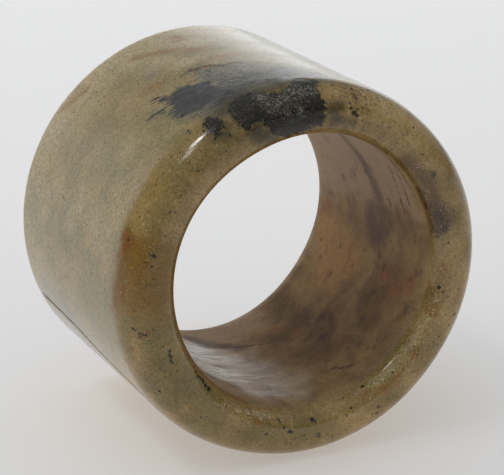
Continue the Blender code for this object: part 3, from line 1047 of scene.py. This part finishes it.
INCLUSION_LAYERS = (
    (HAZE_GREY, ("brush", 0.40, 0.60, 0.65, 0.95), "haze_left"),
    (HAZE_SHADE, 0.75, "haze_left", ("haze_dark", "wide", 1.2)),
    (SMEAR_BLACK, 0.55, "haze_left", ("brush", 0.49, 0.55)),
    (SMEAR_BLACK, 0.90, "haze_left", "dark_grit"),
    (SMEAR_BLACK, 0.65, "haze_left", "pits"),
    (HAZE_PALE, 0.55, "haze_left", ("rough", 0.54, 0.62)),
    (RUST, 0.70, ("smear_stain", "fine", 0.25)),
    (SMEAR_GREY, ("brush", 0.30, 0.45, 0.75, 0.95), "smear"),
    (SMEAR_BLACK, 0.95, "smear", "lines"),
    (SMEAR_BLACK, 0.80, "smear", "pitted"),
    (BLACK, 0.95, "jagged_edge", ("crumbs", 0.40, 0.52, 0.35, 1.0)),
    (BLACK, 0.90, "edge_crumbs", "dark_grit"),
    (PATCH_BROWN, 0.85, ("patch_fringe", "rough", 0.6)),
    (BLACK, 0.95, "patch_and_blob"),
    (PATCH_GREY, 0.45, "grey"),
    (PATCH_CRUMB, 0.45, "crumbled", "shown_grit"),
    (PATCH_CRUMB, 0.75, "crumbled", "shown_crumbs"),
    (BLACK, 0.90, "patch_and_blob", "dark_grit"),
    (SMEAR_BLACK, 0.80, ("flecks", "middle", 0.6), "flecked", ("grit", 0.58, 0.44, 0.2, 1.0)),
    (LIP_BROWN, 0.85, ("lip_brown", "rough", 0.5)),
    (LIP_DARK, 0.80, ("lip_blot", "rough", 0.5)),
    (LIP_CORE, 0.65, ("lip_core", "rough", 0.3)),
)
TOP_LAYERS = (
    (HAIR_BROWN, 0.60, "faded_line"),
    (WALL_BROWN, 0.75, ("crack_stain", "rough", 0.4)),
    (CRACK_BROWN, 0.90, "crack_line"),
    (CREAM_CRUMBS_AND_SPARKLE, 0.70, "crust"),
)

# The outside, the front end and the bore: colours by the value of the noise of clouds, and the layers on them
SURFACES = (
    (((0.40, WALL_GREEN), (0.50, WALL_TAN), (0.62, WALL_OCHRE)), WALL_LAYERS),
    (((0.38, END_OLIVE), (0.50, END_BROWN), (0.62, END_TAN)), END_LAYERS),
    (((0.36, BORE_SHADE), (0.50, BORE_TAN), (0.64, BORE_PALE)), BORE_LAYERS),
)

# The inclusion. The haze is thinned in thin spots, dark spots thicken the smear's lines, and grey spots raise
# the noises of the crumbs. Flecks waver with the rough noise.
HAZE_THINNED = 0.75
THICKER_LINES = 0.30
GREY_RISE = 0.03
CRUMB_STEPS = {"grit": (0.54, 0.61), "crumbs": (0.565, 0.625)}
FLECK_WAVER = 0.35
FLECK_STEP = (0.52, 0.59)

# Grains in cells a millimetre, with the part that is kept and the least and largest radius, and how far they
# are hidden in the bore. Fine grain is hidden on the front end too: how much each noise makes the colour
# lighter or darker, and its values where that is full.
DARK_DOT_CELLS = 2.1
DARK_DOT_RADII = (0.04, 0.11)
PALE_DOT_CELLS = 2.9
PALE_DOTS_KEPT = 0.34
PALE_DOT_RADII = (0.03, 0.08)
HIDDEN_IN_BORE = 0.6
HIDDEN_ON_END = 0.30
GRAIN = (("grit", 0.26), ("crumbs", 0.22), ("rough", 0.18))
GRAIN_STEP = (0.28, 0.72)

# Cream crumbs, which on the lip are partly painted sparkle: how thick they lie in each kind of place, and how
# far they raise the noise of grit
CRUST_PLACES = (
    (1.0, ("frost", "fine", 0.35)),
    (0.55, ("grainy", "middle", 0.6)),
    (0.35, ("lip_blot", "rough", 0.4)),
)
CRUST_RISE = 0.19
CRUST_STEP = (0.68, 0.77)

# Strength of specks, from brown to black, and of those in the bore
SPECK_STRENGTH = (0.4, 1.0, 0.72, 0.95)
BORE_SPECK_STRENGTH = 0.45

# Roughness of the bore outside its sheen, and how much of what breaks the polish the inclusion, the dull
# spots and the crack have
BORE_ROUGHNESS = 0.65
COARSE = 0.15
DULL_ROUGHNESS = 0.35
CRACK_ROUGHNESS = 0.5

# Bump in millimetres: everywhere, and in the patch, its smear and the bore. An edge is as for the relief.
FINE_BUMP = 0.004
PATCH_BUMP = 0.035
PATCH_BUMP_EDGE = (-0.2, 0.2)
SCRATCH_BUMP = 0.014
SCRATCH_BUMP_EDGE = (-0.4, 0.4)
BORE_BUMP = 0.028

JADE_SHADER = {
    "IOR": 1.55,
    "Subsurface Weight": 0.3,
    "Subsurface Radius": (1.0, 0.6, 0.3),
    "Subsurface Scale": MM,
}


class Stone(Tree):
    """The nodes of the jade, with the places, noises and shares that its marks use."""

    def __init__(self, material):
        super().__init__(material)
        place = self.position()
        self.places = {
            "place": place,
            "jittered": self.moved(place, *JITTER),
            "swirled": self.moved(place, *SWIRL),
            "along": self.vector("MULTIPLY", self.field("flow", "Vector"), STREAK_STRETCH),
            "brushed": self.vector("MULTIPLY", self.field("brush", "Vector"), BRUSH_STRETCH),
        }
        self.speck_place = self.moved(place, *SPECK_JITTER)
        self.noises = {}
        for name, (where, scale, detail, roughness) in NOISES.items():
            self.noises[name] = self.noise(self.places[where], scale, detail, roughness)
        self.edges = {}
        for name, reach in EDGES.items():
            self.edges[name] = self.both(self.math("SUBTRACT", self.noises[name], MIDDLE_OF_NOISE), reach)
        self.bore_share = self.field("bore_share")
        self.shares = {}

    def moved(self, place, scale, reach):
        """A place shifted by a noise of so many waves a millimetre, by up to half the reach."""
        colour = self.noise(place, scale, *MOVING_NOISE, output="Color")
        shift = self.vector("SUBTRACT", colour, (MIDDLE_OF_NOISE,) * 3)
        return self.vector("ADD", place, self.scaled(shift, reach))

    def both(self, a, b):
        return self.math("MULTIPLY", a, b)

    def most(self, a, b):
        return self.math("MAXIMUM", a, b)

    def plus(self, *values):
        return functools.reduce(lambda total, value: self.math("ADD", total, value), values)

    def rest(self, share):
        return self.math("SUBTRACT", 1.0, share)

    def blend(self, share, a, b):
        """a where the share is 0, b where it is 1."""
        return self.plus(a, self.both(share, self.math("SUBTRACT", b, a)))

    def mask(self, field, edges, soft):
        """Share of a field's mark, with its border moved in and out by noises and blurred over soft."""
        return self.step(self.plus(self.field(field), *(self.edges[e] for e in edges.split())), -soft, soft)

    def share(self, what):
        """A share made before, or a new one of a mark or a noise, or else a field as it is."""
        if what not in self.shares:
            made = SHARES.get(what, what)
            if isinstance(made, str):
                self.shares[what] = self.field(made)
            elif isinstance(made[1], str):
                self.shares[what] = self.mask(*made)
            else:
                self.shares[what] = self.step(self.noises[made[0]], *made[1:])
        return self.shares[what]

    def paint(self, under, share, colour, strength):
        return self.mix(self.both(share, strength), under, colour)

    def layers(self, under, rows):
        for colour, strength, *shares in rows:
            share = functools.reduce(self.both, [self.share(what) for what in shares])
            colour = self.share(colour) if isinstance(colour, str) else colour
            strength = strength if isinstance(strength, float) else self.share(strength)
            under = self.paint(under, share, colour, strength)
        return under

    def level(self, under, factor):
        """A colour made lighter or darker by a factor."""
        grey = self.add("CombineColor", "Color", {"Red": factor, "Green": factor, "Blue": factor})
        return self.mix(1.0, under, grey, "MULTIPLY")

    def hair(self, name, waver, half_width, soft):
        """Share of a hairline that wavers with the fine noise."""
        gap = self.math("ABSOLUTE", self.plus(self.field(name), self.both(self.edges["fine"], waver)))
        near = self.step(self.field(name + "_near"), 0.0, HAIR_FADE)
        return self.both(self.step(gap, half_width + soft, half_width - soft), near)

    def dots(self, scale, kept, smallest, largest):
        """Share of round grains and a random number for each: cells a millimetre, part kept, and radii."""
        cells = self.add("TexVoronoi", "Color", {"Vector": self.places["place"], "Scale": scale}).node.outputs
        chance = self.add("SeparateColor", "Red", {"Color": cells["Color"]}).node.outputs
        radius = self.step(chance["Green"], 0.0, 1.0, smallest * scale, largest * scale)
        depth = self.math("SUBTRACT", radius, cells["Distance"])
        soft = DOT_SOFTNESS * scale
        kept = self.math("LESS_THAN", chance["Red"], kept)
        return self.both(self.step(depth, -soft, soft), kept), chance["Blue"]

    def specks(self, number):
        """Share and tone of one layer of specks, softer in the bore."""
        centre = self.field(f"speck_centre_{number}", "Vector")
        gap = self.vector("DISTANCE", self.speck_place, centre, "Value")
        depth = self.math("SUBTRACT", self.field(f"speck_radius_{number}"), gap)
        soft = self.step(self.bore_share, 0.0, 1.0, SPECK_SOFTNESS, BORE_SPECK_SOFTNESS)
        share = self.step(self.math("DIVIDE", depth, soft), -1.0, 1.0)
        return share, self.field(f"speck_tone_{number}")


def grains(stone, under):
    """Dark dots, tan grains and fine grain over the whole ring, fainter in the bore."""
    shares = stone.shares
    shares["outside"] = stone.rest(stone.both(stone.bore_share, HIDDEN_IN_BORE))
    shares["dark_dots"], tone = stone.dots(DARK_DOT_CELLS, stone.share("dots_kept"), *DARK_DOT_RADII)
    shares["dark_dot_colour"] = stone.ramp(tone, DOT_COLOURS)
    shares["pale_dots"], tone = stone.dots(PALE_DOT_CELLS, PALE_DOTS_KEPT, *PALE_DOT_RADII)
    colour = stone.layers(under, GRAIN_LAYERS)
    shown = stone.both(shares["outside"], stone.rest(stone.both(stone.field("end_share"), HIDDEN_ON_END)))
    for noise_name, change in GRAIN:
        grain = stone.step(stone.noises[noise_name], *GRAIN_STEP, -change, change)
        colour = stone.level(colour, stone.plus(1.0, stone.both(shown, grain)))
    return colour


def inclusion(stone, under):
    """The black patch with its smear, haze, flecks and the blot on the lip."""
    shares, share, both, most = stone.shares, stone.share, stone.both, stone.most
    shares["haze_left"] = both(share("haze"), stone.rest(both(share("haze_thin"), HAZE_THINNED)))
    shares["lines"] = most(share("smear_lines"), both(share("smear_dark"), THICKER_LINES))
    shares["pitted"] = most(share("dark_grit"), share("pits"))
    shares["jagged_edge"] = stone.hair("smear_edge", *SMEAR_EDGE_HAIR)
    shares["edge_crumbs"] = stone.hair("smear_edge", *SMEAR_CRUMBS_HAIR)
    shares["patch_and_blob"] = most(share("black"), both(share("blob"), share("blob_breaks")))
    shares["grey"] = both(share("patch_and_blob"), share("patch_grey"))
    shares["crumbled"] = both(share("black"), most(share("grey"), share("scratches")))
    for name, numbers in CRUMB_STEPS.items():
        raised = stone.plus(stone.noises[name], both(share("grey"), GREY_RISE))
        shares["shown_" + name] = stone.step(raised, *numbers)
    flecked = stone.plus(stone.noises["fine"], both(stone.edges["rough"], FLECK_WAVER))
    shares["flecked"] = stone.step(flecked, *FLECK_STEP)
    return stone.layers(under, INCLUSION_LAYERS)


def crust(stone):
    """Share of cream crumbs, along the lip and in coarse places. On the lip they are partly painted sparkle.
    """
    places = [stone.both(stone.share(what), thickness) for thickness, what in CRUST_PLACES]
    raised = stone.plus(stone.noises["grit"], stone.both(functools.reduce(stone.most, places), CRUST_RISE))
    return stone.step(raised, *CRUST_STEP)


def jade_colour(stone):
    clouds = stone.noises["clouds"]
    wall, end, bore = (stone.layers(stone.ramp(clouds, base), rows) for base, rows in SURFACES)
    colour = stone.layers(stone.mix(stone.field("end_share"), wall, end), RIM_LAYERS)
    colour = stone.mix(stone.bore_share, colour, bore)
    colour = inclusion(stone, grains(stone, stone.layers(colour, LIP_LAYERS)))
    stone.shares["faded_line"] = stone.hair("faded_hairs", *FADED_HAIR)
    stone.shares["crack_line"] = stone.hair("crack", *CRACK_HAIR)
    stone.shares["crust"] = crust(stone)
    colour = stone.layers(colour, TOP_LAYERS)
    for number in range(len(SPECK_LAYERS)):
        share, tone = stone.specks(number)
        strength = stone.blend(stone.bore_share, stone.step(tone, *SPECK_STRENGTH), BORE_SPECK_STRENGTH)
        colour = stone.paint(colour, share, stone.ramp(tone, SPECK_COLOURS), strength)
    return colour


def jade_roughness(stone):
    """Polished outside, unpolished in the bore apart from its sheen, and coarser over the inclusion."""
    share, both = stone.share, stone.both
    bore = stone.blend(share("bore_sheen"), BORE_ROUGHNESS, share("sheen_polish"))
    rough = stone.blend(stone.field("bore_dull"), share("polish"), bore)
    coarse = both(stone.most(share("patch_and_blob"), share("haze_left")), COARSE)
    broken = both(coarse, share("broken"))
    dull, crack = both(share("dull"), DULL_ROUGHNESS), both(share("crack_line"), CRACK_ROUGHNESS)
    return stone.plus(rough, broken, dull, crack)


def jade_bump(stone):
    both, noises = stone.both, stone.noises
    pitted = stone.step(stone.field("black"), *PATCH_BUMP_EDGE)
    scratched = stone.step(stone.most(stone.field("haze"), stone.field("smear")), *SCRATCH_BUMP_EDGE)
    height = stone.plus(
        both(noises["crumbs"], FINE_BUMP),
        both(pitted, both(noises["crumbs"], PATCH_BUMP)),
        both(scratched, both(noises["grit"], SCRATCH_BUMP)),
        both(stone.bore_share, both(noises["streak"], BORE_BUMP)),
    )
    return stone.add("Bump", "Normal", {"Strength": 1.0, "Distance": MM, "Height": height})


def new_material(name):
    material = bpy.data.materials.new(name)
    material.use_nodes = True
    return material, material.node_tree.nodes["Principled BSDF"].inputs


def jade_material():
    material, shader = new_material("jade")
    stone = Stone(material)
    stone.feed(shader["Base Color"], jade_colour(stone))
    stone.feed(shader["Roughness"], jade_roughness(stone))
    stone.feed(shader["Normal"], jade_bump(stone))
    for name, value in JADE_SHADER.items():
        shader[name].default_value = value
    return material


ring.data.materials.append(jade_material())
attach(ring, "root")
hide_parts("thumb_ring")


# Floor, lights and camera


def floor():
    half = FLOOR_HALF_METRES
    mesh = bpy.data.meshes.new("floor")
    corners = [(-half, -half, 0), (half, -half, 0), (half, half, 0), (-half, half, 0)]
    mesh.from_pydata(corners, [], [(0, 1, 2, 3)])
    material, shader = new_material("pale_floor")
    shader["Base Color"].default_value = FLOOR_COLOUR
    shader["Roughness"].default_value = FLOOR_ROUGHNESS
    tree = Tree(material)
    place = tree.position()
    away = tree.math("POWER", tree.dot(place, place), 0.5)
    # Painted bounce: the floor's glow is warmer near the ring
    near = tree.step(away, *FLOOR_PAINTED_BOUNCE_REACH, 1.0, 0.0)
    tree.feed(shader["Emission Color"], tree.mix(near, (1, 1, 1), FLOOR_PAINTED_BOUNCE))
    # Painted light: the glow grows with distance behind the ring
    behind = tree.dot(place, direction(CAMERA_AZIMUTH + 180, 0))
    start, end = FLOOR_GLOW[0][0], FLOOR_GLOW[-1][0]
    share = tree.math("DIVIDE", tree.math("SUBTRACT", behind, start), end - start)
    stops = [((distance - start) / (end - start), (glow, glow, glow)) for distance, glow in FLOOR_GLOW]
    tree.feed(shader["Emission Strength"], tree.ramp(share, stops))
    mesh.materials.append(material)
    obj = bpy.data.objects.new("floor", mesh)
    bpy.context.scene.collection.objects.link(obj)


def softbox(name, azimuth, elevation, distance, size, radiance, mirrored):
    """A round light that faces the ring. radiance is what a mirror would show of it, if it is mirrored."""
    data = bpy.data.lights.new(name, "AREA")
    data.shape = "ELLIPSE"
    data.size = data.size_y = size * MM
    data.energy = radiance * math.pi * math.pi * data.size * data.size_y / 4
    obj = bpy.data.objects.new(name, data)
    back = direction(azimuth, elevation)
    obj.location = (back * distance + Vector((0, 0, AXIS_HEIGHT))) * MM
    obj.rotation_euler = back.to_track_quat("Z", "Y").to_euler()
    obj.visible_glossy = mirrored
    bpy.context.scene.collection.objects.link(obj)


def surroundings():
    """A pale backdrop all round, brightest behind the ring, under a dimmer dome."""
    world = bpy.data.worlds.new("tent")
    world.use_nodes = True
    tree = Tree(world)
    background = world.node_tree.nodes["Background"].inputs
    background["Color"].default_value = TENT_COLOUR
    towards = tree.add("TexCoord", "Generated", {})
    behind = tree.dot(towards, direction(BACKDROP_AZIMUTH, 0))
    backdrop = tree.step(behind, *BACKDROP_EDGE, BACKDROP_FRONT_LEVEL, BACKDROP_BACK_LEVEL)
    beside = tree.step(tree.dot(towards, direction(SIDE_AZIMUTH, 0)), *SIDE_EDGE, 1.0, SIDE_LEVEL)
    backdrop = tree.math("MULTIPLY", backdrop, beside)
    height = tree.dot(towards, (0, 0, 1))
    edge = [math.sin(math.radians(angle)) for angle in (BACKDROP_TOP, DOME_START)]
    backdrop = tree.math("MULTIPLY", backdrop, tree.step(height, *edge, 1.0, 0.0))
    dome = tree.step(height, *edge, 0.0, DOME_LEVEL)
    tree.feed(background["Strength"], tree.math("ADD", backdrop, dome))
    bpy.context.scene.world = world


def camera():
    data = bpy.data.cameras.new("camera")
    data.lens = CAMERA_LENS
    data.sensor_width = CAMERA_SENSOR
    data.clip_start = CAMERA_CLIP_METRES
    obj = bpy.data.objects.new("camera", data)
    back = direction(CAMERA_AZIMUTH, CAMERA_ELEVATION)
    turn = back.to_track_quat("Z", "Y")
    right = turn @ Vector((1, 0, 0))
    up = turn @ Vector((0, 1, 0))
    aim = Vector((0, 0, AXIS_HEIGHT)) + right * CAMERA_AIM_RIGHT + up * CAMERA_AIM_UP
    obj.location = (aim + back * CAMERA_DISTANCE) * MM
    obj.rotation_euler = turn.to_euler()
    bpy.context.scene.collection.objects.link(obj)
    bpy.context.scene.camera = obj


floor()
surroundings()
for box in SOFTBOXES:
    softbox(*box)
camera()
bpy.context.scene.view_settings.view_transform = "Standard"
